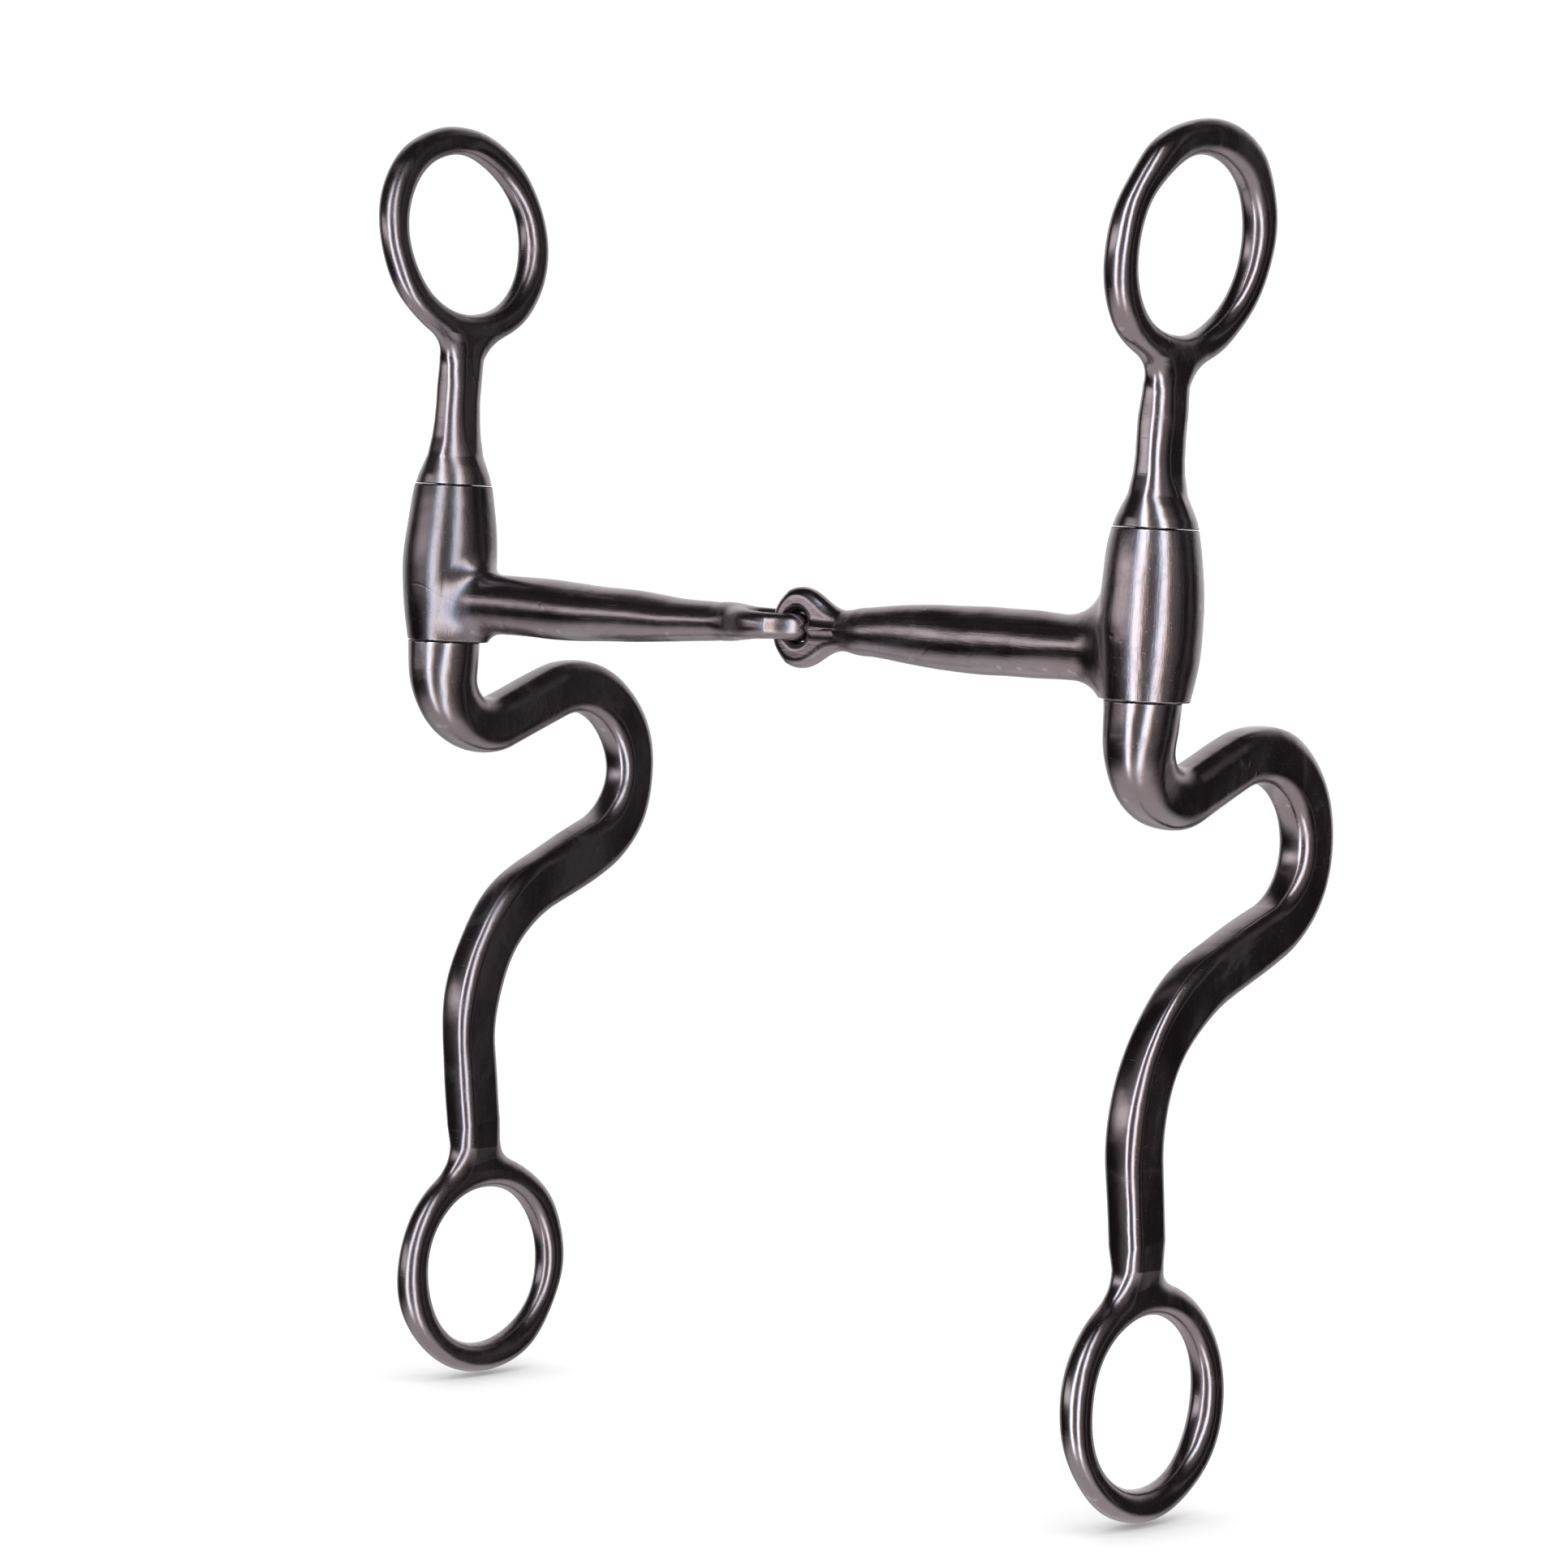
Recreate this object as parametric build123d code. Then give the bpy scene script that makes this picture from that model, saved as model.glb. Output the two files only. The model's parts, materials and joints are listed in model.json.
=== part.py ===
from build123d import *
import os
from math import atan2, degrees

# Loose-cheek curb bit with a two-piece jointed mouth and S-shaped shanks. Millimetres.
# Frame: +X runs along the mouthpiece to the right cheek, +Z up the cheeks, and +Y to the side
# that the shanks' big bend bulges to. The origin is half-way between the two pivot pins, at the
# middle of the barrels' height.

# ---- driving dimensions -------------------------------------------------------------------
MOUTH_WIDTH = 127.0          # clear width between the two barrels: a 5 inch mouth
BARREL_HEIGHT = 25.4
BARREL_MID_DIAMETER = 15.2
BARREL_END_DIAMETER = 12.6
SEAM_GAP = 0.3               # gap between a barrel and the cheek piece above or below it
PIN_DIAMETER = 6.0
PIN_END_CHAMFER = 0.4
PIN_CLEARANCE = 0.06         # radial running clearance of the pin in the barrel
PURCHASE_SOCKET = 5.0        # how deep the pin is pressed into the purchase
SHANK_SOCKET = 5.0           # how deep the pin is pressed into the shank

CANNON_HEIGHT = -5.5         # the mouthpiece's centreline, below the middle of the barrels
HINGE_BAR_X = 1.5            # the right eye's upright bar, which the left half folds around
EYE_BAR = 3.4                # both eyes' bars, measured along the mouthpiece
EYE_WIDTH = 12.5             # both eyes, across their widest place
EYE_STUB = 2.0               # length of cannon that is cut with an eye
EYE_SHOULDER = 4.0           # concave radius from an eye into its cannon
RIGHT_HOLE_LENGTH = 4.1
RIGHT_HOLE_WIDTH = 5.2
LEFT_HOLE_LENGTH = 7.8
LEFT_HOLE_WIDTH = 5.7
RIGHT_EYE_THICKNESS = 3.4
LEFT_EYE_THICKNESS = 4.2
LINK_PLAY = 0.25             # gap between the two eyes' bars

# A cannon's half-sizes at shares of the way from its eye to the pivot pin: in the plane of its
# own eye, and across that plane. The first station lies inside the eye.
CANNON_STATIONS = [
    (-0.03, 3.2, 1.6),
    (0.0, 3.4, 2.4),
    (0.12, 3.7, 3.1),
    (0.24, 4.35, 3.55),
    (0.36, 4.8, 4.0),
    (0.52, 5.05, 4.6),
    (0.64, 4.9, 4.95),
    (0.76, 4.65, 5.05),
    (0.94, 4.6, 5.0),
]
CANNON_FILLET = 2.4          # concave radius where a cannon meets its barrel
JUNCTION_REACH = (9.0, 2.0)  # where that edge begins and ends, measured back from the pin's axis

RING_TUBE = 4.9              # the rings' section, measured along the ring's radius
RING_THICKNESS = 4.6         # the rings' section, measured along the ring's axis
RING_EDGE = 1.4              # edge rounding, which leaves a flat land inside each ring
HEADSTALL_HOLE_RADIUS = 13.2
REIN_HOLE_RADIUS = 13.3
RING_SHOULDER = 3.6          # concave radius from a ring into its bar

FOOT_EDGE = 0.5
CHEEK_EDGE = 1.4             # corner rounding of the cheeks' flat bars
FLAT_BAR = 0.7               # a section this much narrower one way has plain rounded corners
NECK_LEAN = 4.0              # degrees, towards +Y above the waist of the purchase
HEADSTALL_RING_HEIGHT = 53.5
HEADSTALL_LEAN = 7.5         # degrees, outward from the neck's upper end
NECK_TOP = 36.0
# The purchase's foot: height above its end, thickness across the horse, width from the side. The
# neck goes on with the last section.
NECK_STATIONS = [
    (0.0, 12.0, 12.0),
    (2.5, 10.2, 11.0),
    (5.0, 7.9, 9.4),
    (7.5, 6.3, 8.1),
    (10.0, 5.6, 7.4),
    (12.5, 5.2, 7.0),
]

# The shank's centreline, from the barrel down: a straight length, then a bend of that radius
# through that angle. A positive angle turns the way down towards +Y, a negative one back.
SHANK_BENDS = [
    (3.9, 8.7, 107.5),
    (15.1, 13.9, -174.5),
    (14.2, 25.6, 75.7),
]
SHANK_TAIL = 37.1            # last straight length, as far as the middle of the rein ring
SHANK_LEAN = 1.45            # degrees, inward from the foot
# The shank's section at shares of its length: thickness across the horse, width from the side.
SHANK_STATIONS = [
    (0.0, 11.7, 11.7),
    (0.06, 10.4, 11.0),
    (0.14, 7.9, 9.9),
    (0.22, 6.5, 8.9),
    (0.32, 6.0, 8.1),
    (0.45, 5.8, 7.7),
    (0.62, 5.8, 8.4),
    (0.80, 5.6, 8.1),
    (1.0, 5.4, 7.8),
]

# ---- worked out from the driving dimensions -----------------------------------------------
PIN_X = MOUTH_WIDTH / 2 + BARREL_MID_DIAMETER / 2
BARREL_TOP = BARREL_HEIGHT / 2
FOOT_HEIGHT = BARREL_TOP + SEAM_GAP
RIGHT_EYE_END = HINGE_BAR_X - EYE_BAR / 2
LEFT_EYE_END = HINGE_BAR_X + EYE_BAR * 3 / 2 + LINK_PLAY
OVERLAP = 0.6                # extra length that is trimmed off flat at a foot
SURE = 0.1                   # margin that keeps a rounding smaller than the face it lies on
ROOM = 40.0                  # size of a cutting box that reaches past every part near it


def rounded_bar_section(plane, thickness, width, edge):
    """A rounded rectangle on a plane. The nearer it is to a square, the nearer to a circle."""
    roundness = min(thickness, width) / max(thickness, width)
    smallest = min(thickness, width) / 2 - SURE
    corner = edge + (smallest - edge) * max(0.0, (roundness - FLAT_BAR) / (1 - FLAT_BAR))
    return plane * RectangleRounded(thickness, width, corner)


def barrel():
    """The barrel-shaped tube that turns on the pivot pin, still without its bore."""
    end = BARREL_END_DIAMETER / 2
    side = ThreePointArc((end, -BARREL_TOP), (BARREL_MID_DIAMETER / 2, 0), (end, BARREL_TOP))
    ends = Polyline((end, BARREL_TOP), (0, BARREL_TOP), (0, -BARREL_TOP), (end, -BARREL_TOP))
    return revolve(Plane.XZ * make_face(side + ends), Axis.Z)


def eye(hole_length, hole_width, thickness):
    """A flat eye with rounded edges in the XZ plane. Its tip is at X = 0 and its neck at +X."""
    middle = EYE_BAR + hole_length / 2
    neck_half_width = CANNON_STATIONS[1][1]
    neck_end = middle * 3
    head = Pos(middle, 0) * Ellipse(middle, EYE_WIDTH / 2)
    neck = Pos(middle, 0) * Rectangle(neck_end - middle, neck_half_width * 2, align=(Align.MIN, Align.CENTER))
    outline = head + neck
    inner_corners = [v for v in outline.vertices() if middle < v.X < neck_end - EYE_STUB]
    outline = fillet(inner_corners, EYE_SHOULDER)
    outline -= Pos(middle, 0) * Ellipse(hole_length / 2, hole_width / 2)
    plate = extrude(Plane.XZ * outline, thickness / 2, both=True)
    kept_length = middle * 2 + EYE_STUB
    plate &= Box(kept_length, ROOM, ROOM, align=(Align.MIN, Align.CENTER, Align.CENTER))
    rims = plate.edges().filter_by(lambda edge: abs(abs(edge.center().Y) - thickness / 2) < 0.01)
    rims = rims.filter_by(lambda edge: edge.center().X < kept_length - SURE)
    return fillet(rims, min(EYE_BAR, thickness) / 2 - SURE)


def cannon(start, end):
    """The tapered round bar from an eye to the pin's axis, with elliptical sections along X."""
    sections = []
    for share, in_plane, across in CANNON_STATIONS:
        plane = Plane(origin=(start + (end - start) * share, 0, 0), x_dir=(0, 0, 1), z_dir=(1, 0, 0))
        sections.append(plane * Ellipse(in_plane, across))
    return loft(sections)


def mouth_half(eye_shape, neck, length, eye_turn):
    """One half of the mouthpiece: eye, cannon and barrel. The eye's tip is at X = 0."""
    bar = eye_shape + cannon(neck, length)
    bar = Pos(0, 0, CANNON_HEIGHT) * Rot(eye_turn, 0, 0) * bar
    tube = Pos(length, 0, 0) * barrel()
    half = bar + tube
    begin, end = length - JUNCTION_REACH[0], length - JUNCTION_REACH[1]
    junction = [e for e in half.edges() if begin < e.center().X < end
                and abs(e.center().Z) < BARREL_TOP - 1]
    half = fillet(junction, CANNON_FILLET)
    return half - Pos(length, 0, 0) * Cylinder(PIN_DIAMETER / 2 + PIN_CLEARANCE, BARREL_HEIGHT + 1)


def mouthpiece_right():
    """The right half. Its eye stands upright in the XZ plane."""
    upright_eye = eye(RIGHT_HOLE_LENGTH, RIGHT_HOLE_WIDTH, RIGHT_EYE_THICKNESS)
    neck = EYE_BAR * 2 + RIGHT_HOLE_LENGTH
    half = mouth_half(upright_eye, neck, PIN_X - RIGHT_EYE_END, 0)
    return Pos(RIGHT_EYE_END, 0, 0) * half


def mouthpiece_left():
    """The left half. Its eye lies flat and passes through the right eye."""
    flat_eye = eye(LEFT_HOLE_LENGTH, LEFT_HOLE_WIDTH, LEFT_EYE_THICKNESS)
    neck = EYE_BAR * 2 + LEFT_HOLE_LENGTH
    half = mouth_half(flat_eye, neck, PIN_X + LEFT_EYE_END, 90)
    return Pos(LEFT_EYE_END, 0, 0) * half.mirror(Plane.YZ)


def cheek_ring(hole_radius, bar_width):
    """A ring in the YZ plane around the origin, with a shouldered stub of its bar going down."""
    outer = hole_radius + RING_TUBE
    stub_end = outer + RING_SHOULDER
    disc = Circle(outer)
    stub = Pos(0, -stub_end / 2) * Rectangle(bar_width, stub_end)
    outline = disc + stub
    inner_corners = [v for v in outline.vertices() if -outer < v.Y < -hole_radius]
    outline = fillet(inner_corners, RING_SHOULDER) - Circle(hole_radius)
    plate = extrude(Plane.YZ * outline, RING_THICKNESS / 2, both=True)
    rims = plate.edges().filter_by(lambda edge: abs(abs(edge.center().X) - RING_THICKNESS / 2) < 0.01)
    rims = rims.filter_by(lambda edge: edge.center().Z > 0.01 - stub_end)
    return fillet(rims, RING_EDGE)


def purchase():
    """The right upper cheek: round foot, waisted neck and the headstall ring leaning outward."""
    sections = []
    for height, thickness, width in NECK_STATIONS:
        plane = Plane(origin=(0, 0, FOOT_HEIGHT + height), x_dir=(1, 0, 0), z_dir=(0, 0, 1))
        sections.append(rounded_bar_section(plane, thickness, width, CHEEK_EDGE))
    waist_height = FOOT_HEIGHT + NECK_STATIONS[-1][0]
    neck = extrude(sections[-1], NECK_TOP - waist_height)
    ring = cheek_ring(HEADSTALL_HOLE_RADIUS, NECK_STATIONS[-1][2])
    ring = Rot(0, HEADSTALL_LEAN, 0) * Pos(0, 0, HEADSTALL_RING_HEIGHT - NECK_TOP) * ring
    upper = neck + Pos(0, 0, NECK_TOP) * ring
    upper = Pos(0, 0, waist_height) * Rot(-NECK_LEAN, 0, 0) * Pos(0, 0, -waist_height) * upper
    body = loft(sections) + upper
    foot_rim = body.edges().group_by(Axis.Z)[0]
    socket = Pos(0, 0, FOOT_HEIGHT) * Cylinder(PIN_DIAMETER / 2, PURCHASE_SOCKET * 2)
    return Pos(PIN_X, 0, 0) * (fillet(foot_rim, FOOT_EDGE) - socket)


def shank_path():
    """The shank's centreline in the YZ plane, from above its foot to the middle of its ring."""
    start = Vector(0, OVERLAP - FOOT_HEIGHT)
    heading = Vector(0, -1)
    edges = []
    for straight, radius, turn in SHANK_BENDS:
        edges.append(Line(start, start + heading * straight))
        edges.append(JernArc(edges[-1] @ 1, heading, radius, turn))
        start = edges[-1] @ 1
        heading = edges[-1] % 1
    edges.append(Line(start, start + heading * SHANK_TAIL))
    return Plane.YZ * Wire(edges)


def shank():
    """The right lower cheek: round foot, S-shaped flat bar and the rein ring."""
    whole = shank_path()
    ring_centre = whole @ 1
    bar_share = 1 - (REIN_HOLE_RADIUS + RING_TUBE / 2) / whole.length
    path = whole.trim(0, bar_share)
    sections = []
    for share, thickness, width in SHANK_STATIONS:
        plane = Plane(origin=path @ share, x_dir=(1, 0, 0), z_dir=path % share)
        sections.append(rounded_bar_section(plane, thickness, width, CHEEK_EDGE))
    bar = sweep(sections, path=path, multisection=True)
    tail = whole % 1
    ring_turn = 180 + degrees(atan2(tail.Y, -tail.Z))
    ring = cheek_ring(REIN_HOLE_RADIUS, SHANK_STATIONS[-1][2])
    ring = Pos(*ring_centre) * Rot(ring_turn, 0, 0) * ring
    body = Pos(0, 0, -FOOT_HEIGHT) * Rot(0, SHANK_LEAN, 0) * Pos(0, 0, FOOT_HEIGHT) * (bar + ring)
    body -= Pos(0, 0, -FOOT_HEIGHT) * Box(ROOM, ROOM, ROOM, align=(Align.CENTER, Align.CENTER, Align.MIN))
    foot_rim = body.edges().group_by(Axis.Z)[-1]
    socket = Pos(0, 0, -FOOT_HEIGHT) * Cylinder(PIN_DIAMETER / 2, SHANK_SOCKET * 2)
    return Pos(PIN_X, 0, 0) * (fillet(foot_rim, FOOT_EDGE) - socket)


def pivot_pin():
    """The right pivot pin. It is pressed into both cheek pieces and turns in the barrel."""
    length = 2 * FOOT_HEIGHT + PURCHASE_SOCKET + SHANK_SOCKET
    middle = (PURCHASE_SOCKET - SHANK_SOCKET) / 2
    pin = Cylinder(PIN_DIAMETER / 2, length)
    pin = chamfer(pin.edges(), PIN_END_CHAMFER)
    return Pos(PIN_X, 0, middle) * pin


def both_sides(name, right_piece):
    """A cheek piece and its mirror image, which are named after their sides."""
    return {name + "_right": right_piece, name + "_left": right_piece.mirror(Plane.YZ)}


nodes = {"mouthpiece_right": mouthpiece_right(), "mouthpiece_left": mouthpiece_left()}
nodes.update(both_sides("purchase", purchase()))
nodes.update(both_sides("shank", shank()))
nodes.update(both_sides("pivot_pin", pivot_pin()))

os.makedirs("parts", exist_ok=True)
for node, shape in nodes.items():
    export_step(shape, f"parts/{node}.step")
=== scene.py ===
import json
from collections import namedtuple
from math import cos, pi, radians, sin

import bpy
import numpy as np
from mathutils import Matrix, Vector


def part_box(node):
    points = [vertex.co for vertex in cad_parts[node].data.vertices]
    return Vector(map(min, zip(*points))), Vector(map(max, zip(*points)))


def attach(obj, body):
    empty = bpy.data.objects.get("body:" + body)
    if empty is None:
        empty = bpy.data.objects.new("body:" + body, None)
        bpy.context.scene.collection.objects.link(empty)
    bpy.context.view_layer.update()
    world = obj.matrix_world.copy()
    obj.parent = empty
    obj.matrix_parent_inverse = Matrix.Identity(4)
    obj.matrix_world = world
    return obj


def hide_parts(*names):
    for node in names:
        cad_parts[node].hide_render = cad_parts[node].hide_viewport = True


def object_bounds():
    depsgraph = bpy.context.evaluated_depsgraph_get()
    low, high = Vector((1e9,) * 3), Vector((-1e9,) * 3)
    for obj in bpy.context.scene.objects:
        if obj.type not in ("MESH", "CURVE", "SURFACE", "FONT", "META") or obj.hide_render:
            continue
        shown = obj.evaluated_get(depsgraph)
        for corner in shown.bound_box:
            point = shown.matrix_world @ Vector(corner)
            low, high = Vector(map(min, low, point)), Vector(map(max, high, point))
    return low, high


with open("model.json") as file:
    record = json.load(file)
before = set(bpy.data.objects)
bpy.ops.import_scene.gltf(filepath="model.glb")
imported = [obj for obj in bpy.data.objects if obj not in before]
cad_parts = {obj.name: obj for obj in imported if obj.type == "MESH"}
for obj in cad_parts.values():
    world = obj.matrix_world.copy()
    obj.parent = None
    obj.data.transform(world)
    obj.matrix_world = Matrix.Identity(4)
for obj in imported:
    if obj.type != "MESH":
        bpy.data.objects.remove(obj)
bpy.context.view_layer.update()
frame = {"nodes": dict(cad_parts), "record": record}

# The visible castings are meshed from distance fields. A field is a function that gives the
# distance in millimetres from the points (x, y, z) to the metal's surface, negative inside.
# Smooth unions of fields make the cast blends between barrel, cannon, eye, ring and bar.

MM = 0.001
STEP = 0.3           # spacing of the meshing grid, in millimetres
MARGIN = 1.5                                # room for the mesh around its CAD node, in millimetres
PULLS = 3                                   # how often a mesh is pulled onto its exact surface
SEED = 27


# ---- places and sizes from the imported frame, in millimetres ---------------------------------
def joint_place(name):
    """The place of a joint's axis."""
    for joint in frame["record"]["behaviour"]["joints"]:
        if joint["name"] == name:
            return np.array(joint["pos_m"]) / MM


def ring_mount(name):
    """A ring's centre and the radius of its hole."""
    for mount in frame["record"]["mounts"]:
        if mount["name"] == name:
            return np.array(mount["pos_m"]) / MM, mount["dims"]["r_mm"]


def box_of(node):
    """A node's lowest and highest corners."""
    low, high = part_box(node)
    return np.array(low) / MM, np.array(high) / MM


PIN_X = joint_place("right_cheek_swivel")[0]
HINGE_X, _, CANNON_Z = joint_place("mouth_fold")
MOUTH_LOW, MOUTH_HIGH = box_of("mouthpiece_right")
BARREL_TOP = MOUTH_HIGH[2]
BARREL_RADIUS = MOUTH_HIGH[1]
RIGHT_TIP = MOUTH_LOW[0]
LEFT_TIP = box_of("mouthpiece_left")[1][0]
FOOT_TOP = -box_of("shank_right")[1][2]
PIN_RADIUS = box_of("pivot_pin_right")[1][1]
HEAD_RING, HEAD_HOLE = ring_mount("headstall_ring_right")
REIN_RING, REIN_HOLE = ring_mount("rein_ring_right")

# ---- sizes of the castings' sections, in millimetres -----------------------------------------
BARREL_END_RADIUS = BARREL_RADIUS - 1.3
BORE_RADIUS = PIN_RADIUS + 0.06             # with the pin's running clearance
SOCKET_DEPTH = 5.0                          # how deep a pin sits in the purchase and in the shank
FOOT_GAIN = 0.06                            # extra length of a foot, which thins its seam
FOOT_EDGE = 0.15                            # edge roundings at the seams
BARREL_GAIN = 0.1                           # extra length of a barrel, at each end
BARREL_EDGE = 0.12
EYE_BAR = 3.3                               # an eye's bar, measured along the mouthpiece
EYE_FILLET = 4.0                            # from an eye's round head into its neck
EYE_MERGE = 1.6                             # fillet between an eye and its cannon
NECK_END = (1.6, 4.5)                       # how deep an eye's neck sinks, and over what length
RING_FILLET = 4.2                           # from a ring into its bar
RING_FADE = 7.0                             # length over which the ring's section becomes the bar's
RING_HALF_TUBE = 2.4                        # along the ring's radius
RING_HALF_THICKNESS = 2.3                   # along the ring's axis
RING_EDGE = 2.15                            # the rings are almost round in section
RING_STRETCH = (1.02, 0.98)                 # the rings are a little wider than they are high
CHEEK_EDGE = 1.5                            # between a bar's faces
SHANK_CROWN = 8.0                           # radius of a bar's rounded front and back faces
NECK_EDGE = 2.0                             # the same two for a purchase's neck
NECK_CROWN = 5.0
HEAD_GROWTH = {1: 0.32, -1: 0.0}            # extra half-thickness at the top of a headstall ring
HEAD_TILT = {1: -0.05, -1: 0.06}            # extra outward lean of the headstall rings
REIN_TILT = {1: -0.04, -1: 0.04}            # outward lean of the rein rings
SEAM_LIFT = {1: 0.9, -1: 0.4}               # how much higher than in the model the lower seam sits

# The eyes of the mouthpiece's halves, 1 the right one and -1 the left one. An eye gets thicker by
# its growth on the way from its tip to the flat neck behind its hole.
Eye = namedtuple("Eye", "half_width hole_length hole_half_width half_thickness growth rim hole_rim"
                        " neck_half_width neck_length")
EYES = {1: Eye(6.2, 4.3, 2.35, 1.75, 0.0, 1.6, 1.3, 3.1, 10.0),
        -1: Eye(5.95, 8.0, 3.25, 2.1, 0.4, 1.95, 1.62, 2.8, 5.0)}
WEBS = {1: (8.5, 6.5, 1.6), -1: (4.5, 6.0, 2.8)}    # fillets above, below and in front of a cannon
WEB_HALF_HEIGHT = 3.0                       # the fillet above becomes the one below in twice this
WEB_HALF_DEPTH = 6.0                        # from a cannon's middle to where its front fillet is
CANNON_SHIFT = {1: 0.3, -1: -0.45}          # a cannon's line above the joint's middle
RIDGE = 0.12                                # the ridge's width, as a share of the cannon's

# Where a cannon starts and is full, behind its eye's end, and its least share of thickness.
NOSES = {1: (2.2, 8.0, 1.0), -1: (-3.2, 3.5, 0.35)}

# Cannon half-sizes at shares of the way from the eye to the pin: in the eye's plane, and across.
CANNON_SHARES = (0.0, 0.04, 0.09, 0.13, 0.24, 0.36, 0.52, 0.64, 0.76, 1.0)
CANNON_IN_PLANE = {1: (2.7, 2.85, 3.2, 3.6, 4.3, 4.8, 5.05, 4.9, 4.65, 4.6),
                   -1: (3.4, 3.4, 3.55, 3.75, 4.3, 4.8, 5.05, 4.9, 4.65, 4.6)}
CANNON_ACROSS = {1: (2.05, 2.05, 3.0, 3.45, 3.85, 4.1, 4.6, 4.95, 5.05, 5.0),
                 -1: (2.6, 2.8, 3.0, 3.15, 3.6, 4.05, 4.55, 4.75, 4.75, 4.7)}

# Purchase half-sizes at heights above its foot: across the horse, and seen from the side.
NECK_HEIGHTS = (0.0, 1.5, 3.0, 5.0, 7.5, 10.0, 13.0, 24.0)
NECK_ACROSS = (6.2, 5.9, 5.25, 4.15, 3.3, 2.95, 2.9, 3.1)
NECK_SIDE = (6.2, 6.0, 5.5, 4.85, 4.25, 4.0, 3.9, 4.1)

# The shank's centreline: straight length, bend radius, and the bend's angle in degrees. The last
# straight length goes to the middle of the rein ring. The bow is an extra inward one, half-way.
SHANK_START = (-0.8, 1.5 - FOOT_TOP)
SHANK_BENDS = {1: ((5.25, 9.5, 111.78), (11.51, 15.5, -76.78), (0.0, 13.5, -102.0), (14.3, 25.6, 75.7)),
               -1: ((5.25, 9.5, 110.67), (13.83, 13.9, -177.67), (14.2, 25.6, 75.7))}
SHANK_TAIL = {1: 36.2, -1: 36.65}
SHANK_BOW = {1: 0.15, -1: 0.5}
SHANK_SHARES = (0.0, 0.04, 0.10, 0.17, 0.24, 0.32, 0.45, 0.62, 0.80, 1.0)
SHANK_ACROSS = (5.8, 5.35, 3.85, 3.45, 3.35, 3.25, 3.15, 3.15, 3.1, 3.0)
SHANK_SIDE = (5.85, 5.8, 4.75, 4.45, 4.4, 4.35, 4.15, 4.65, 4.5, 4.35)


# ---- distance-field tools --------------------------------------------------------------------
def smooth_union(first, second, blend):
    """The nearer of two distances, with a fillet about as wide as blend where they are equal."""
    mix = np.maximum(blend - np.abs(first - second), 0) / blend
    return np.minimum(first, second) - mix * mix * blend / 4


def rounded_cut(first, second, edge):
    """The overlap of two bodies with an edge of one exact radius."""
    outside = np.hypot(np.maximum(first + edge, 0), np.maximum(second + edge, 0))
    return outside + np.minimum(np.maximum(first, second) + edge, 0) - edge


def curve_through(places, values, at):
    """A smooth curve through the values: straight interpolation, eased near each place."""
    fine = np.linspace(places[0], places[-1], 241)
    line = np.interp(fine, places, values)
    width = 6
    kernel = np.hanning(2 * width + 3)[1:-1]
    before, after = 2 * line[0] - line[width:0:-1], 2 * line[-1] - line[-2:-width - 2:-1]
    padded = np.concatenate((before, line, after))
    smooth = np.convolve(padded, kernel / kernel.sum(), "valid")
    return np.interp(at, fine, smooth)


def ramp(distance, ease):
    """Zero below zero and distance above it, with a soft start of about the length ease."""
    return np.where(distance > ease, distance - ease / 2, np.maximum(distance, 0) ** 2 / (2 * ease))


class Waves:
    """Smooth random unevenness: a sum of plane waves with lengths around one size."""

    def __init__(self, seed, length, height, count=14):
        random = np.random.default_rng(seed)
        heading = random.normal(size=(count, 3))
        heading /= np.linalg.norm(heading, axis=1)[:, None]
        self.wave = heading * (2 * pi / (length * random.uniform(0.7, 1.6, count)))[:, None]
        self.phase = random.uniform(0, 2 * pi, count)
        self.height = height * (2 / count) ** 0.5

    def __call__(self, x, y, z):
        total = np.zeros(np.broadcast(x, y, z).shape, np.float32)
        for (a, b, c), phase in zip(self.wave, self.phase):
            total += np.sin(a * x + b * y + c * z + phase)
        return total * self.height


# ---- meshing: surface nets on a grid, then a pull onto the exact surface ---------------------
def net_of(values):
    """Vertices (in grid cells) and quads of the zero surface of a grid of distances."""
    inside = values < 0
    cells = np.array(values.shape) - 1
    corners = np.array([(i, j, k) for i in (0, 1) for j in (0, 1) for k in (0, 1)])
    filled = np.zeros(cells, np.int8)
    for i, j, k in corners:
        filled += inside[i:i + cells[0], j:j + cells[1], k:k + cells[2]]
    active = (filled > 0) & (filled < 8)
    places = np.argwhere(active)
    index = np.full(cells, -1)
    index[active] = np.arange(len(places))
    value = np.stack([values[tuple((places + corner).T)] for corner in corners], 1)
    total = np.zeros((len(places), 3))
    count = np.zeros(len(places))
    for first, start in enumerate(corners):
        for second, end in enumerate(corners):
            if (end - start).sum() != 1 or (end < start).any():
                continue
            before, after = value[:, first], value[:, second]
            crossed = (before < 0) != (after < 0)
            share = np.where(crossed, before / np.where(crossed, before - after, 1), 0)
            total += (start + share[:, None] * (end - start)) * crossed[:, None]
            count += crossed
    points = places + total / count[:, None]
    quads = []
    for axis in range(3):
        first, second = [n for n in range(3) if n != axis]
        low = np.take(inside, range(cells[axis]), axis)
        high = np.take(inside, range(1, cells[axis] + 1), axis)
        crossings = np.argwhere(low != high)
        around = crossings[:, (first, second)]
        crossings = crossings[((around > 0) & (around < cells[[first, second]])).all(1)]
        corner_cells = []
        for step_first, step_second in ((0, 0), (1, 0), (1, 1), (0, 1)):
            cell = crossings.copy()
            cell[:, first] -= step_first
            cell[:, second] -= step_second
            corner_cells.append(index[tuple(cell.T)])
        quad = np.stack(corner_cells, 1)
        leaving = low[tuple(crossings.T)]
        flip = leaving if axis == 1 else ~leaving
        quad[flip] = quad[flip][:, ::-1]
        quads.append(quad)
    return points, np.concatenate(quads)


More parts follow.
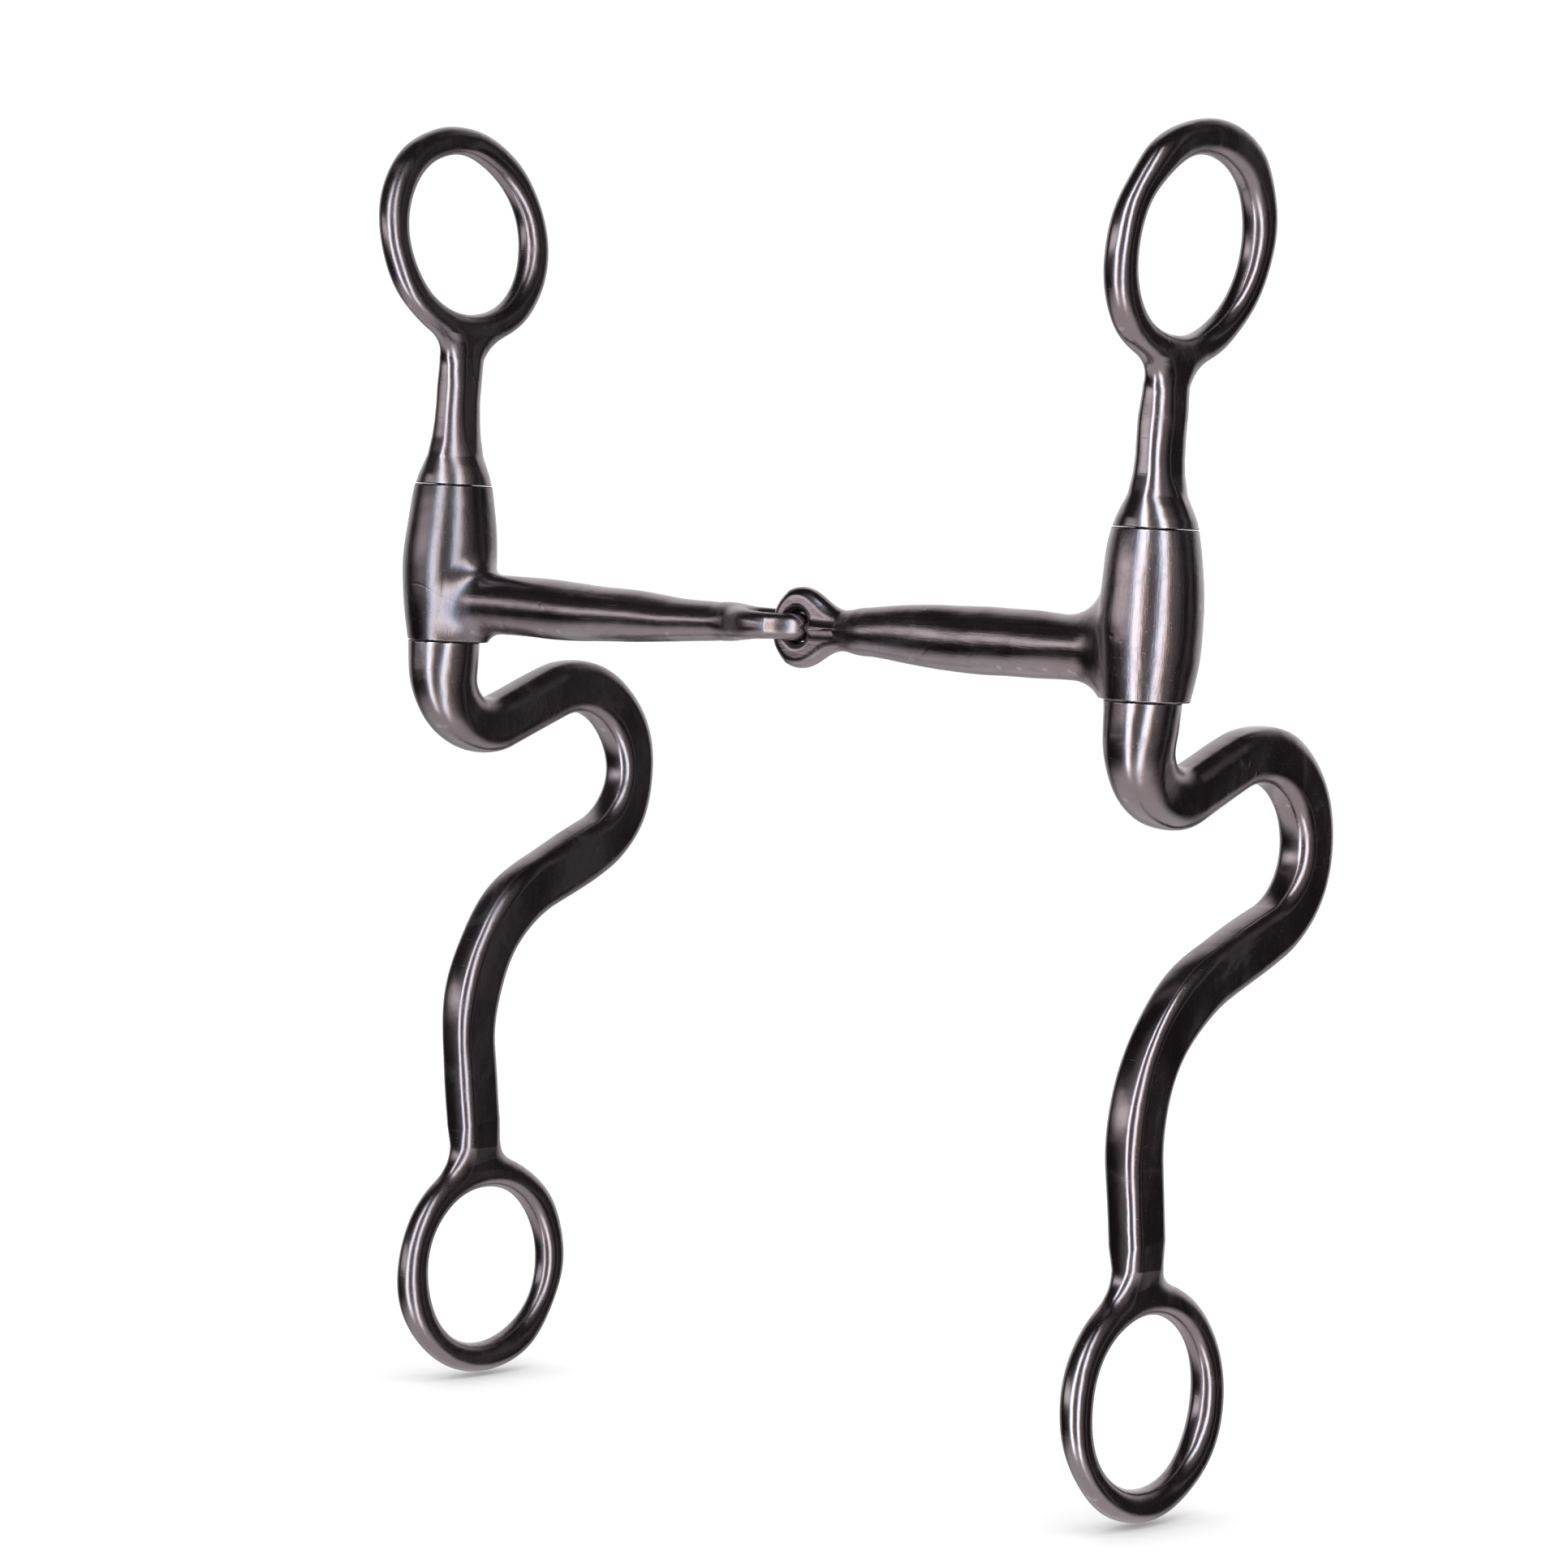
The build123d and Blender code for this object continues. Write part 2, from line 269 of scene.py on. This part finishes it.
def gradient_of(field, points):
    """The field's slope at points, by central differences."""
    reach = 0.05                            # millimetres
    slope = np.zeros_like(points)
    for axis in range(3):
        shift = np.zeros(3)
        shift[axis] = reach
        ahead, behind = points + shift, points - shift
        slope[:, axis] = (field(*ahead.T) - field(*behind.T)) / (2 * reach)
    return slope


def mesh_piece(name, field, low, high, body, node, material, slot):
    """Meshes a field inside a box and puts it in the scene in place of its CAD node."""
    axes = [np.arange(a - MARGIN, b + MARGIN + STEP, STEP) for a, b in zip(low, high)]
    x, y, z = np.meshgrid(*axes, indexing="ij", sparse=True)
    values = field(x, y, z)
    points, quads = net_of(values)
    points = points * STEP + np.array([axis[0] for axis in axes])
    for _ in range(PULLS):
        slope = gradient_of(field, points)
        size = np.maximum((slope ** 2).sum(1), 0.05)
        move = slope * (field(*points.T) / size)[:, None]
        points -= np.clip(move, -STEP / 2, STEP / 2)
    mesh = bpy.data.meshes.new(name)
    mesh.from_pydata((points * MM).tolist(), [], quads.tolist())
    mesh.shade_smooth()
    slope = gradient_of(field, points)
    mesh.normals_split_custom_set_from_vertices(slope / np.linalg.norm(slope, axis=1)[:, None])
    piece = bpy.data.objects.new(name, mesh)
    bpy.context.collection.objects.link(piece)
    mesh.materials.append(material)
    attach(piece, body)
    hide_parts(node)


# ---- the castings' fields --------------------------------------------------------------------
def ellipse_distance(a, b, half_a, half_b):
    """Nearly the distance to an ellipse: exact on it, and of the right slope near it."""
    reach = np.hypot(a / half_a, b / half_b)
    slope = np.hypot(a / half_a ** 2, b / half_b ** 2)
    return reach * (reach - 1) / np.maximum(slope, 1e-4)


def section_edge(half_a, half_b, edge):
    """Corner radius of a bar: its edge where it is flat, nearly its half-width where it is round."""
    small, large = np.minimum(half_a, half_b), np.maximum(half_a, half_b)
    roundness = np.clip((small / large - 0.7) / 0.28, 0, 1)
    return edge + (small - 0.05 - edge) * roundness


def eye_field(along, in_plane, across, eye):
    """A flat eye with rounded rims. Its tip is at along = 0, and its neck's end narrows inside
    the cannon."""
    middle = EYE_BAR + eye.hole_length / 2
    head = ellipse_distance(along - middle, in_plane, middle, eye.half_width)
    neck = np.maximum(np.abs(in_plane) - eye.neck_half_width, middle - along)
    past_end = along - 2 * middle - eye.neck_length
    depth, length = NECK_END
    sunk = depth * np.clip(past_end / length + 1, 0, 1) ** 2
    outline = np.maximum(smooth_union(head, neck, EYE_FILLET), past_end)
    half = eye.half_thickness + eye.growth * np.clip((along - EYE_BAR) / (2 * middle - EYE_BAR), 0, 1)
    plate = rounded_cut(outline + sunk, np.abs(across) - half + sunk, eye.rim)
    hole = ellipse_distance(along - middle, in_plane, eye.hole_length / 2, eye.hole_half_width)
    return rounded_cut(plate, -hole, eye.hole_rim)


def cannon_field(x, y, z, side, tip, neck):
    """The tapered oval bar from its rounded nose on the eye as far as the pin's axis. In front of
    the nose it goes on as a thin ridge to the eye's hole."""
    along = (x - tip) * side
    pin = PIN_X - tip * side
    share = np.clip((along - neck) / (pin - neck), 0, 1)
    wide = curve_through(CANNON_SHARES, CANNON_IN_PLANE[side], share)
    thick = curve_through(CANNON_SHARES, CANNON_ACROSS[side], share)
    start, full, least = NOSES[side]
    grown = np.clip((along - neck - start) / (full - start), 0, 1)
    swell = np.sqrt(grown * (2 - grown))
    wide, thick = wide * np.maximum(swell, RIDGE), thick * np.maximum(swell, least)
    hole_end = neck - EYE_BAR + 0.2
    half_z, half_y = (wide, thick) if side > 0 else (thick, wide)
    height = z - CANNON_Z - CANNON_SHIFT[side] * np.minimum(share * 5, 1)
    return np.maximum(ellipse_distance(y, height, half_y, half_z), np.maximum(hole_end - along, along - pin))


def mouth_field(side, waves):
    """One half of the mouthpiece. side is 1 for the right half and -1 for the left."""
    tip = RIGHT_TIP if side > 0 else LEFT_TIP
    neck = 2 * EYE_BAR + EYES[side].hole_length
    above, below, front = WEBS[side]

    def field(x, y, z):
        in_plane, across = (z - CANNON_Z, y) if side > 0 else (y, z - CANNON_Z)
        eye = eye_field((x - tip) * side, in_plane, across, EYES[side])
        cannon = cannon_field(x, y, z, side, tip, neck)
        radius = np.hypot(x - PIN_X * side, y)
        bulge = BARREL_END_RADIUS + (BARREL_RADIUS - BARREL_END_RADIUS) * (1 - (z / BARREL_TOP) ** 2)
        upward = np.clip((z - CANNON_Z + WEB_HALF_HEIGHT) / (2 * WEB_HALF_HEIGHT), 0, 1)
        web = below + (above - below) * upward
        web = front + (web - front) * (1 - np.clip(np.abs(y) / WEB_HALF_DEPTH, 0, 1) ** 2)
        body = smooth_union(cannon, radius - bulge, web)
        body = smooth_union(body, eye, EYE_MERGE) + waves(x, y, z)
        middle = SEAM_LIFT[side] / 2
        body = rounded_cut(body, np.abs(z - middle) - BARREL_TOP - BARREL_GAIN + middle, BARREL_EDGE)
        return np.maximum(body, BORE_RADIUS - radius)

    return field


class Path:
    """A flat path of straight lengths and bends, which finds the nearest place on itself."""

    def __init__(self, start, bends, tail):
        self.parts = []
        self.length = 0.0
        place = np.array(start, float)
        heading = -pi / 2
        for straight, radius, turn in bends + ((tail, None, None),):
            along = np.array((cos(heading), sin(heading)))
            self.parts.append(("line", self.length, place, along, straight))
            place = place + along * straight
            self.length += straight
            if radius:
                angle = radians(turn)
                way = 1 if angle > 0 else -1
                centre = place + way * radius * np.array((-sin(heading), cos(heading)))
                self.parts.append(("arc", self.length, centre, radius, heading - way * pi / 2, angle))
                heading += angle
                place = centre + way * radius * np.array((sin(heading), -cos(heading)))
                self.length += radius * abs(angle)
        self.end = place

    def nearest(self, y, z):
        """Distance from the path, and length along the path, for the points (y, z)."""
        best = np.full(np.broadcast(y, z).shape, 1e9)
        reached = np.zeros_like(best)
        for part in self.parts:
            if part[0] == "line":
                _, begun, place, along, length = part
                going = np.clip((y - place[0]) * along[0] + (z - place[1]) * along[1], 0, length)
                near_y, near_z = place[0] + along[0] * going, place[1] + along[1] * going
            else:
                _, begun, centre, radius, first, angle = part
                way = 1 if angle > 0 else -1
                turned = (np.arctan2(z - centre[1], y - centre[0]) - first) * way
                turned = (turned - abs(angle) / 2 + pi) % (2 * pi) - pi + abs(angle) / 2
                turned = np.clip(turned, 0, abs(angle))
                near_y = centre[0] + radius * np.cos(first + way * turned)
                near_z = centre[1] + radius * np.sin(first + way * turned)
                going = radius * turned
            distance = np.hypot(y - near_y, z - near_z)
            closer = distance < best
            best = np.where(closer, distance, best)
            reached = np.where(closer, begun + going, reached)
        return best, reached


def forging(bar, ring, hole, x, across, edge):
    """A flat forging with rounded edges: a bar that widens into a ring, and the ring's hole."""
    outline = np.maximum(smooth_union(bar, ring, RING_FILLET), hole)
    near_ring = np.clip(ring / RING_FADE, 0, 1)
    half = RING_HALF_THICKNESS + (across - RING_HALF_THICKNESS) * near_ring
    edge = RING_EDGE + (edge - RING_EDGE) * near_ring
    return rounded_cut(outline, np.abs(x) - half, edge)


def crown(out, across, side_half, radius):
    """How much a bar's front and back faces fall away from their middle line. A foot has none."""
    flatness = np.clip((1 - np.minimum(across / side_half, 1)) / 0.12, 0, 1)
    return np.minimum(np.abs(out), across) ** 2 / (2 * radius) * flatness


def tilt_reach(height, hole_radius):
    """Height above a ring's centre, which fades to zero on the bar below the ring."""
    end = -hole_radius - 2 * RING_HALF_TUBE
    return height * np.clip((height - end + 2) / 4, 0, 1)


def ring_outline(y, z, centre, hole_radius, growth=0.0):
    """Distances in the ring's plane: from the ring's band, and from the edge of its hole."""
    reach = np.hypot((y - centre[0]) / RING_STRETCH[0], (z - centre[1]) / RING_STRETCH[1])
    half = RING_HALF_TUBE + growth * np.clip((z - centre[1]) / hole_radius, 0, 1) ** 2
    return np.abs(reach - hole_radius - half) - half, hole_radius - reach


def shank_field(side, waves):
    """The S-shaped shank with its round foot and rein ring."""
    path = Path(SHANK_START, SHANK_BENDS[side], SHANK_TAIL[side] - REIN_HOLE - RING_HALF_TUBE - 1.6)
    top = SEAM_LIFT[side] - FOOT_TOP + FOOT_GAIN
    drop = -FOOT_TOP - REIN_RING[2]
    inward = PIN_X - REIN_RING[0]

    def field(x, y, z):
        way_down = np.clip((-FOOT_TOP - z) / drop, 0, 1)
        out = x * side - PIN_X + inward * (1 - (1 - way_down) ** 2.2)
        out = out + SHANK_BOW[side] * np.sin(pi * way_down)
        out = out + REIN_TILT[side] * tilt_reach(REIN_RING[2] - z, REIN_HOLE)
        off_line, reached = path.nearest(y, z)
        share = reached / path.length
        side_half = curve_through(SHANK_SHARES, SHANK_SIDE, share)
        across = curve_through(SHANK_SHARES, SHANK_ACROSS, share)
        ring, hole = ring_outline(y, z, REIN_RING[1:], REIN_HOLE)
        edge = section_edge(across, side_half, CHEEK_EDGE)
        bar = off_line - side_half + crown(out, across, side_half, SHANK_CROWN)
        body = forging(bar, ring, hole, out, across, edge) + waves(x, y, z)
        body = rounded_cut(body, z - top, FOOT_EDGE)
        radius = np.hypot(x * side - PIN_X, y)
        socket = np.maximum(radius - PIN_RADIUS, -z - FOOT_TOP - SOCKET_DEPTH)
        return np.maximum(body, -socket)

    return field


def purchase_field(side, waves):
    """The upper cheek with its round foot, waisted neck and the ring that leans outward."""
    waist = FOOT_TOP + 12.5
    top = HEAD_RING[2] - HEAD_HOLE - RING_HALF_TUBE
    back_lean = HEAD_RING[1] / (HEAD_RING[2] - waist)
    out_lean = (HEAD_RING[0] - PIN_X) / (HEAD_RING[2] - top - 1)

    def field(x, y, z):
        back = y - back_lean * ramp(z - waist, 4)
        out = x * side - PIN_X - out_lean * ramp(z - top - 1, 3)
        out = out - HEAD_TILT[side] * tilt_reach(z - HEAD_RING[2], HEAD_HOLE)
        height = np.clip(z - FOOT_TOP, 0, NECK_HEIGHTS[-1])
        side_half = curve_through(NECK_HEIGHTS, NECK_SIDE, height)
        across = curve_through(NECK_HEIGHTS, NECK_ACROSS, height)
        ring, hole = ring_outline(back, z, (0, HEAD_RING[2]), HEAD_HOLE, HEAD_GROWTH[side])
        bar = np.abs(back) - side_half + crown(out, across, side_half, NECK_CROWN)
        bar = np.maximum(bar, z - top - 1)
        edge = section_edge(across, side_half, NECK_EDGE)
        body = forging(bar, ring, hole, out, across, edge) + waves(x, y, z)
        body = rounded_cut(body, FOOT_TOP - FOOT_GAIN - z, FOOT_EDGE)
        radius = np.hypot(x * side - PIN_X, y)
        socket = np.maximum(radius - PIN_RADIUS, z - FOOT_TOP - SOCKET_DEPTH)
        return np.maximum(body, -socket)

    return field


# ---- materials -------------------------------------------------------------------------------
class Nodes:
    """Short ways to add and link nodes of one node tree."""

    def __init__(self, tree):
        self.tree = tree

    def link(self, value, socket):
        """Links a socket to another one, or sets its value."""
        if isinstance(value, bpy.types.NodeSocket):
            self.tree.links.new(value, socket)
        else:
            socket.default_value = value

    def add(self, kind, inputs=(), **settings):
        node = self.tree.nodes.new(kind)
        for key, value in settings.items():
            setattr(node, key, value)
        for key, value in dict(inputs).items():
            self.link(value, node.inputs[key])
        return node

    def noise(self, place, scale, detail=4.0, roughness=0.55, distortion=0.0):
        inputs = {"Vector": place, "Scale": scale, "Detail": detail, "Roughness": roughness,
                  "Distortion": distortion}
        return self.add("ShaderNodeTexNoise", inputs).outputs["Fac"]

    def stretched(self, place, scale, turn=(0, 0, 0)):
        inputs = {"Vector": place, "Scale": scale, "Rotation": turn}
        return self.add("ShaderNodeMapping", inputs).outputs["Vector"]

    def remap(self, value, low, high, to_low, to_high, smooth=False):
        inputs = {"Value": value, "From Min": low, "From Max": high, "To Min": to_low, "To Max": to_high}
        kind = "SMOOTHSTEP" if smooth else "LINEAR"
        return self.add("ShaderNodeMapRange", inputs, interpolation_type=kind).outputs["Result"]

    def maths(self, operation, first, second=0.0):
        return self.add("ShaderNodeMath", {0: first, 1: second}, operation=operation).outputs[0]

    def plus(self, first, *weighted):
        """The first value plus every other one times its weight."""
        for value, weight in weighted:
            first = self.maths("ADD", first, self.maths("MULTIPLY", value, weight))
        return first

    def mix(self, factor, first, second):
        node = self.add("ShaderNodeMix", {"Factor": factor}, data_type="RGBA")
        for socket, value in ((node.inputs[6], first), (node.inputs[7], second)):
            self.link((*value, 1) if isinstance(value, tuple) else value, socket)
        return node.outputs[2]


def new_material(name):
    """A material, its nodes and its shader's inputs."""
    material = bpy.data.materials.new(name)
    material.use_nodes = True
    return material, Nodes(material.node_tree), material.node_tree.nodes["Principled BSDF"].inputs


BARREL_BORDER = (0.0625, 0.0645)            # metres along x between a cannon and its barrel


def dark_steel(name, tint, brown, shine, brushing, seed, barrel_painted_shade):
    """Dark satin steel: cloudy tint, brushing, fine scratches, dents, pits and worn edges. The
    barrel's colour is darkened by its own share, as painted shade."""
    material, n, shader = new_material(name)
    place = n.add("ShaderNodeTexCoord").outputs["Object"]
    across = n.add("ShaderNodeSeparateXYZ", {0: place}).outputs["X"]
    on_barrel = n.remap(n.maths("ABSOLUTE", across), *BARREL_BORDER, 0, 1)
    place = n.add("ShaderNodeVectorMath", {0: place, 1: (seed, seed * 2, seed * 3)}).outputs[0]

    cloud = n.noise(place, 38, 5, 0.6, 0.4)
    mottle = n.noise(place, 260, 6, 0.65, 0.8)
    colour = n.mix(n.remap(cloud, 0.35, 0.68, 0, 1), tint, brown)
    colour = n.mix(n.remap(mottle, 0.56, 0.78, 0, 0.5), colour, tuple(c * 0.55 for c in tint))
    edges = n.remap(n.add("ShaderNodeNewGeometry").outputs["Pointiness"], 0.51, 0.57, 0, 0.4)
    colour = n.mix(edges, colour, tuple(min(c * 1.7, 1) for c in tint))
    # Painted shade: the barrel's colour is darkened by its own share, most on the left mouthpiece.
    colour = n.mix(n.maths("MULTIPLY", on_barrel, barrel_painted_shade), colour, (0.0, 0.0, 0.0))

    upright = n.noise(n.stretched(place, (2600, 2600, 130)), 1.0, 4, 0.65)
    lengthwise = n.noise(n.stretched(place, (130, 2600, 2600)), 1.0, 4, 0.65)
    streaks = n.plus(n.maths("MULTIPLY", upright, on_barrel),
                     (lengthwise, n.maths("SUBTRACT", 1.0, on_barrel)))
    scratches = []
    for turn, length in (((0.3, 0.5, 0.2), 90), ((1.3, 0.2, 0.9), 60), ((0.6, 1.4, 2.1), 75)):
        thin = n.stretched(place, (length, length * 40, length * 40), turn)
        scratches.append(n.remap(n.noise(thin, 1.0, 2, 0.5), 0.72, 0.77, 0, 1))
    scratch = n.maths("MAXIMUM", n.maths("MAXIMUM", scratches[0], scratches[1]), scratches[2])
    cells = n.add("ShaderNodeTexVoronoi", {"Vector": place, "Scale": 330}).outputs["Distance"]
    pitted = n.remap(n.noise(place, 95, 2), 0.58, 0.66, 0, 1)
    pit = n.maths("MULTIPLY", n.remap(cells, 0.05, 0.16, 1, 0), pitted)
    fold = n.maths("ABSOLUTE", n.maths("SUBTRACT", n.noise(place, 46, 2, 0.5, 1.2), 0.5))
    folded = n.remap(n.noise(place, 52, 1), 0.54, 0.66, 0, 1)
    dent = n.maths("MULTIPLY", n.remap(fold, 0.0, 0.02, 1, 0, True), folded)
    dull = n.remap(n.noise(place, 60, 4, 0.6, 1.6), 0.56, 0.72, 0, 1, True)

    rough = n.remap(n.noise(place, 70, 6, 0.6), 0.3, 0.75, shine, shine + 0.09)
    rough = n.plus(rough, (n.maths("SUBTRACT", streaks, 0.5), brushing * 0.3), (scratch, 0.1),
                   (dent, 0.03), (dull, 0.13))

    grain, ripple, swell = n.noise(place, 1500, 3), n.noise(place, 240, 2), n.noise(place, 110, 2)
    height = n.plus(n.maths("MULTIPLY", streaks, brushing), (grain, 0.22), (ripple, 1.6), (swell, 8.0),
                    (scratch, -0.22), (dent, -0.6), (pit, -1.0))
    bump = n.add("ShaderNodeBump", {"Strength": 0.6, "Distance": 0.00004, "Height": height})

    n.link(colour, shader["Base Color"])
    n.link(rough, shader["Roughness"])
    n.link(bump.outputs["Normal"], shader["Normal"])
    n.link(1.0, shader["Metallic"])
    return material


def pin_steel():
    """Plain turned steel with fine rings from the lathe."""
    material, n, shader = new_material("pin_steel")
    place = n.add("ShaderNodeTexCoord").outputs["Object"]
    rings = n.noise(n.stretched(place, (20, 20, 5200)), 1.0, 2, 0.5)
    bump = n.add("ShaderNodeBump", {"Strength": 0.3, "Distance": 0.00003, "Height": rings})
    colour = n.mix(n.remap(rings, 0.3, 0.7, 0, 1), (0.16, 0.15, 0.15), (0.26, 0.25, 0.25))
    n.link(colour, shader["Base Color"])
    n.link(n.remap(rings, 0.3, 0.7, 0.3, 0.45), shader["Roughness"])
    n.link(bump.outputs["Normal"], shader["Normal"])
    n.link(1.0, shader["Metallic"])
    return material


def floor_finish():
    """The floor's even, pale finish."""
    material, n, shader = new_material("floor_pale")
    place = n.add("ShaderNodeTexCoord").outputs["Object"]
    n.link(n.mix(n.noise(place, 3), (0.93, 0.93, 0.93), (0.92, 0.92, 0.92)), shader["Base Color"])
    n.link(0.7, shader["Roughness"])
    n.link(0.1, shader["Specular IOR Level"])
    return material


# ---- the pieces ------------------------------------------------------------------------------
# Name, tint, brown patches, roughness, brushing, place in the noise, and the barrel's painted shade.
# Painted shade: the left steels' tints and browns are darker than the right ones'.
CHEEK_STEELS = {
    1: ("cheek_steel_right", (0.258, 0.227, 0.243), (0.238, 0.19, 0.198), 0.15, 0.25, 1.7, 0.0),
    -1: ("cheek_steel_left", (0.234, 0.203, 0.218), (0.214, 0.172, 0.179), 0.19, 0.3, 4.3, 0.0)}
MOUTH_STEELS = {
    1: ("mouth_steel_right", (0.27, 0.237, 0.257), (0.256, 0.205, 0.214), 0.17, 0.9, 2.9, 0.08),
    -1: ("mouth_steel_left", (0.25, 0.218, 0.236), (0.242, 0.192, 0.202), 0.21, 0.5, 6.1, 0.38)}
WAVES = {"mouth": (0, 13.0, 0.06), "purchase": (1, 13.0, 0.07), "shank": (2, 17.0, 0.11)}


def waves_of(part, side):
    """The unevenness of one casting, from its own seed, wave length and height."""
    offset, length, height = WAVES[part]
    return Waves(SEED + 10 * side + offset, length, height)


def build_pieces():
    cheek = {side: dark_steel(*steel) for side, steel in CHEEK_STEELS.items()}
    mouth = {side: dark_steel(*steel) for side, steel in MOUTH_STEELS.items()}
    for side, word in ((1, "right"), (-1, "left")):
        for name, node, body, field, material, slot in (
                ("mouthpiece_cast", "mouthpiece", "mouth", mouth_field(side, waves_of("mouth", side)),
                 mouth[side], "mouth_steel"),
                ("purchase_forged", "purchase", "cheek", purchase_field(side, waves_of("purchase", side)),
                 cheek[side], "cheek_steel"),
                ("shank_forged", "shank", "cheek", shank_field(side, waves_of("shank", side)),
                 cheek[side], "cheek_steel")):
            node = f"{node}_{word}"
            mesh_piece(f"{name}_{word}", field, *box_of(node), f"{body}_{word}", node, material, slot)
    turned = pin_steel()
    for word in ("right", "left"):
        pin = frame["nodes"]["pivot_pin_" + word]
        pin.data.materials.clear()
        pin.data.materials.append(turned)


# ---- floor, light and camera -----------------------------------------------------------------
CAMERA_AZIMUTH = radians(41.0)
CAMERA_HEIGHT = radians(3.9)
CAMERA_ROLL = radians(3.0)
CAMERA_DISTANCE = 0.7475
CAMERA_LENS = 112.2
CAMERA_SHIFT = (0.0008, -0.0298)            # metres to the right and up in the camera's own plane


def direction(azimuth, height):
    """The way from the object towards a viewer at that azimuth and height."""
    return Vector((sin(azimuth) * cos(height), -cos(azimuth) * cos(height), sin(height)))


def build_camera():
    back = direction(CAMERA_AZIMUTH, CAMERA_HEIGHT)
    right = Vector((cos(CAMERA_AZIMUTH), sin(CAMERA_AZIMUTH), 0))
    up = back.cross(right)
    right, up = (right * cos(CAMERA_ROLL) + up * sin(CAMERA_ROLL),
                 up * cos(CAMERA_ROLL) - right * sin(CAMERA_ROLL))
    camera = bpy.data.objects.new("camera", bpy.data.cameras.new("camera"))
    camera.data.lens = CAMERA_LENS
    camera.data.sensor_width = 36
    camera.data.clip_start = 0.01
    place = back * CAMERA_DISTANCE + right * CAMERA_SHIFT[0] + up * CAMERA_SHIFT[1]
    camera.matrix_world = Matrix.Translation(place) @ Matrix((right, up, back)).transposed().to_4x4()
    bpy.context.collection.objects.link(camera)
    bpy.context.scene.camera = camera


# What the metal sees around it. A panel is its left and right azimuth and the softness of those
# edges, its lowest and highest angle and their softness, all in degrees, and its brightness. A
# strip is a brighter upright panel with its left and right azimuth, softness and brightness.
PANELS = ((-30, 100, 14, -40, 50, 20, 0.28),
          (-52, -16, 14, -2, 13, 6, 1.9),
          (127, 133, 4, -30, 40, 15, 0.25),
          (157, 176, 8, -40, 50, 15, 0.3))
STRIPS = ((-6, 14, 6, 5.2), (52, 69, 5, 4.8))
STRIP_HEIGHTS = (-48, 58, 12)
STRIP_FRINGE = ((-0.8, 0.92), (0.0, 1.02), (0.8, 1.06))    # red, green, blue: shift and strength
ROOM_DARK = (0.019, 0.016, 0.017)
FLOOR_WHITE = 1.16                          # what the floor and the eye see instead


def panel(n, heading, height, left, right, edge, low, high, rim):
    """A soft-edged bright rectangle in the surroundings, from its azimuths and heights in degrees."""
    part = n.maths("MULTIPLY", n.remap(heading, left - edge, left + edge, 0, 1, True),
                   n.remap(heading, right - edge, right + edge, 1, 0, True))
    part = n.maths("MULTIPLY", part, n.remap(height, low - rim, low + rim, 0, 1, True))
    return n.maths("MULTIPLY", part, n.remap(height, high - rim, high + rim, 1, 0, True))


def build_world():
    """The studio. It is white for the eye and the floor. The metal sees a dark room with two
    upright strip lights, the panels, a pale sweep opposite the camera and a pale floor."""
    world = bpy.data.worlds.new("studio")
    world.use_nodes = True
    bpy.context.scene.world = world
    n = Nodes(world.node_tree)
    way = n.add("ShaderNodeTexCoord").outputs["Generated"]
    x, y, z = n.add("ShaderNodeSeparateXYZ", {0: way}).outputs
    heading = n.maths("MULTIPLY", n.maths("ARCTAN2", x, n.maths("MULTIPLY", y, -1.0)), 180 / pi)
    height = n.maths("MULTIPLY", n.maths("ARCSINE", z), 180 / pi)
    sweep = n.add("ShaderNodeVectorMath", {0: way, 1: -direction(CAMERA_AZIMUTH, 0)}, operation="DOT_PRODUCT")
    behind = n.remap(sweep.outputs["Value"], 0.42, 0.78, 0, 1, True)
    behind = n.maths("MULTIPLY", behind, n.remap(z, -0.4, 0.1, 0.5, 1.0, True))
    below = n.remap(z, -0.74, -0.42, 0.95, 0, True)
    light = n.maths("MAXIMUM", behind, below)
    for *shape, strength in PANELS:
        light = n.maths("ADD", light, n.maths("MULTIPLY", panel(n, heading, height, *shape), strength))
    colour = n.add("ShaderNodeCombineXYZ", {0: light, 1: light, 2: light}).outputs[0]
    for *edges, strength in STRIPS:
        bright = []
        for shift, tone in STRIP_FRINGE:
            part = panel(n, n.maths("ADD", heading, shift), height, *edges, *STRIP_HEIGHTS)
            bright.append(n.maths("MULTIPLY", part, strength * tone))
        strip = n.add("ShaderNodeCombineXYZ", dict(enumerate(bright))).outputs[0]
        colour = n.add("ShaderNodeVectorMath", {0: colour, 1: strip}).outputs[0]
    colour = n.add("ShaderNodeVectorMath", {0: colour, 1: ROOM_DARK}).outputs[0]
    white = n.tree.nodes["Background"]
    n.link((1, 1, 1, 1), white.inputs["Color"])
    n.link(FLOOR_WHITE, white.inputs["Strength"])
    room = n.add("ShaderNodeBackground", {"Color": colour})
    glossy = n.add("ShaderNodeLightPath").outputs["Is Glossy Ray"]
    both = n.add("ShaderNodeMixShader", {0: glossy, 1: white.outputs[0], 2: room.outputs[0]})
    n.link(both.outputs[0], n.tree.nodes["World Output"].inputs["Surface"])


def build_stage():
    """The floor, and a wide soft light overhead that gives it a faint shadow."""
    low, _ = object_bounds()
    place = (0, 0, low.z - 0.0005)
    bpy.ops.mesh.primitive_grid_add(x_subdivisions=8, y_subdivisions=8, size=8, location=place)
    floor = bpy.context.object
    floor.name = "floor"
    floor.visible_glossy = False
    floor.data.materials.append(floor_finish())
    light = bpy.data.lights.new("overhead", "AREA")
    light.size = 0.9
    light.energy = 2.5
    lamp = bpy.data.objects.new("overhead", light)
    lamp.location = (0.1, -0.1, 1.0)
    lamp.visible_glossy = False
    bpy.context.collection.objects.link(lamp)
    bpy.context.scene.view_settings.view_transform = "Standard"


build_pieces()
build_world()
build_stage()
build_camera()
